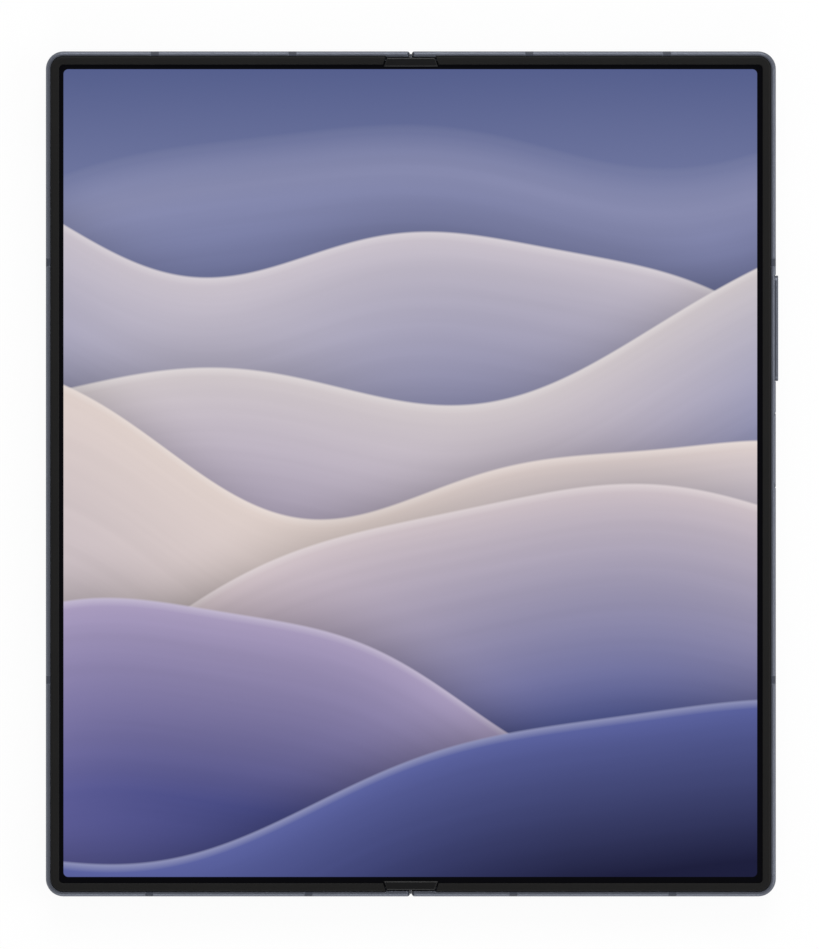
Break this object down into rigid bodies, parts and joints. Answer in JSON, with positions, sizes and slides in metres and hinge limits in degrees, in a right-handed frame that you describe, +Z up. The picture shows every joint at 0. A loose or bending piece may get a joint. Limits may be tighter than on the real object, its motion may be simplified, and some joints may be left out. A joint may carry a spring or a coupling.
{
  "type": "folding smartphone",
  "caption": "Book-style folding phone lying open on its back: two thin halves on a geared spine, one tall flexible screen, camera island behind.",
  "frame": {"origin": "on the surface the phone lies on, under the middle of the fold", "axes": "+Z up out of the open screen, +Y along the fold towards the top of the screen, +X towards the half with the keys"},
  "size_m": [0.1331, 0.1536, 0.0076],
  "materials": {
    "frame_metal": "anodised, fine satin",
    "antenna_plastic": "moulded, satin",
    "soft_rim": "soft moulded, matt",
    "folding_screen": "glossy film over the lit picture",
    "back_glass": "satin etched glass, dark blue behind it",
    "cover_glass": "polished glass over a dark display",
    "camera_ring": "turned, polished edge",
    "lens_glass": "polished, coated",
    "camera_body": "matt black",
    "flash_window": "clear with a yellow lamp below",
    "cell_foil": "printed foil pouch",
    "circuit_board": "solder mask",
    "shield_steel": "plain sheet",
    "socket_steel": "drawn, bright",
    "speaker_body": "moulded",
    "coil_copper": "lacquered copper",
    "magnet_nickel": "nickel plated",
    "screw_steel": "plated",
    "hinge_steel": "ground",
    "gear_brass": "cut and greased",
    "flex_film": "amber film"
  },
  "bodies": {
    "right_half": {"right_frame": "frame_metal", "right_antenna_bands": "antenna_plastic", "right_bezel": "soft_rim", "display_right": "folding_screen", "rear_glass": "back_glass", "camera_island": "frame_metal", "camera_ring_top": "camera_ring", "camera_ring_middle": "camera_ring", "camera_ring_bottom": "camera_ring", "camera_glass_top": "lens_glass", "camera_glass_middle": "lens_glass", "camera_glass_bottom": "lens_glass", "camera_module_top": "camera_body", "camera_module_middle": "camera_body", "camera_module_bottom": "camera_body", "flash_module": "flash_window", "under_display_camera": "camera_body", "battery_right": "cell_foil", "main_board": "circuit_board", "board_shield": "shield_steel", "sub_board": "circuit_board", "usb_port": "socket_steel", "speaker_bottom": "speaker_body", "vibration_motor": "hinge_steel", "charging_coil": "coil_copper", "key_bracket": "shield_steel", "closing_magnets_right": "magnet_nickel", "right_screws": "screw_steel", "rotator_right_top": "hinge_steel", "rotator_right_bottom": "hinge_steel"},
    "volume_key": {"volume_key": "frame_metal"},
    "side_key": {"side_key": "frame_metal"},
    "spine": {"spine_shell": "frame_metal", "rail_block_top": "hinge_steel", "rail_block_bottom": "hinge_steel", "gear_housing": "hinge_steel", "display_fold": "folding_screen", "bezel_cap_top": "soft_rim", "bezel_cap_bottom": "soft_rim", "hinge_flex_cable": "flex_film"},
    "sync_gear_right": {"sync_gear_right": "gear_brass"},
    "idler_gear_right": {"idler_gear_right": "gear_brass"},
    "idler_gear_left": {"idler_gear_left": "gear_brass"},
    "sync_gear_left": {"sync_gear_left": "gear_brass"},
    "left_half": {"left_frame": "frame_metal", "left_antenna_bands": "antenna_plastic", "left_bezel": "soft_rim", "display_left": "folding_screen", "cover_glass": "cover_glass", "cover_display": "cover_glass", "cover_camera": "camera_body", "battery_left": "cell_foil", "left_board": "circuit_board", "speaker_top": "speaker_body", "sim_reader": "shield_steel", "closing_magnets_left": "magnet_nickel", "left_screws": "screw_steel", "rotator_left_top": "hinge_steel", "rotator_left_bottom": "hinge_steel"},
    "sim_tray": {"sim_tray": "frame_metal"}
  },
  "joints": [
    {"name": "fold_right", "type": "hinge", "parent": "spine", "child": "right_half", "pos_m": [0.00181, 0, 0.00583], "axis": [0, -1, 0], "range_deg": [0, 90], "deforming": ["display_fold", "bezel_cap_top", "bezel_cap_bottom", "hinge_flex_cable"]},
    {"name": "fold_left", "type": "hinge", "parent": "spine", "child": "left_half", "pos_m": [-0.00181, 0, 0.00583], "axis": [0, 1, 0], "range_deg": [0, 90]},
    {"name": "sync_right_turn", "type": "hinge", "parent": "spine", "child": "sync_gear_right", "pos_m": [0.003, 0, 0.00458], "axis": [0, 1, 0], "range_deg": [-90, 0]},
    {"name": "idler_right_turn", "type": "hinge", "parent": "spine", "child": "idler_gear_right", "pos_m": [0.001, 0, 0.00458], "axis": [0, 1, 0], "range_deg": [0, 90]},
    {"name": "idler_left_turn", "type": "hinge", "parent": "spine", "child": "idler_gear_left", "pos_m": [-0.001, 0, 0.00458], "axis": [0, 1, 0], "range_deg": [-90, 0]},
    {"name": "sync_left_turn", "type": "hinge", "parent": "spine", "child": "sync_gear_left", "pos_m": [-0.003, 0, 0.00458], "axis": [0, 1, 0], "range_deg": [0, 90]},
    {"name": "volume_rock", "type": "hinge", "parent": "right_half", "child": "volume_key", "pos_m": [0.06405, 0.0265, 0.0045], "axis": [0, 0, 1], "range_deg": [-1, 1], "stiffness_Nm_per_rad": 0.5},
    {"name": "side_press", "type": "slide", "parent": "right_half", "child": "side_key", "axis": [-1, 0, 0], "range_m": [0, 0.00025], "stiffness_N_per_m": 6000},
    {"name": "tray_out", "type": "slide", "parent": "left_half", "child": "sim_tray", "axis": [-1, 0, 0], "range_m": [0, 0.016]}
  ],
  "couplings": [
    {"joint": "fold_left", "follows": "fold_right", "ratio": 1},
    {"joint": "sync_right_turn", "follows": "fold_right", "ratio": -1},
    {"joint": "idler_right_turn", "follows": "fold_right", "ratio": 1},
    {"joint": "idler_left_turn", "follows": "fold_right", "ratio": -1},
    {"joint": "sync_left_turn", "follows": "fold_right", "ratio": 1}
  ]
}
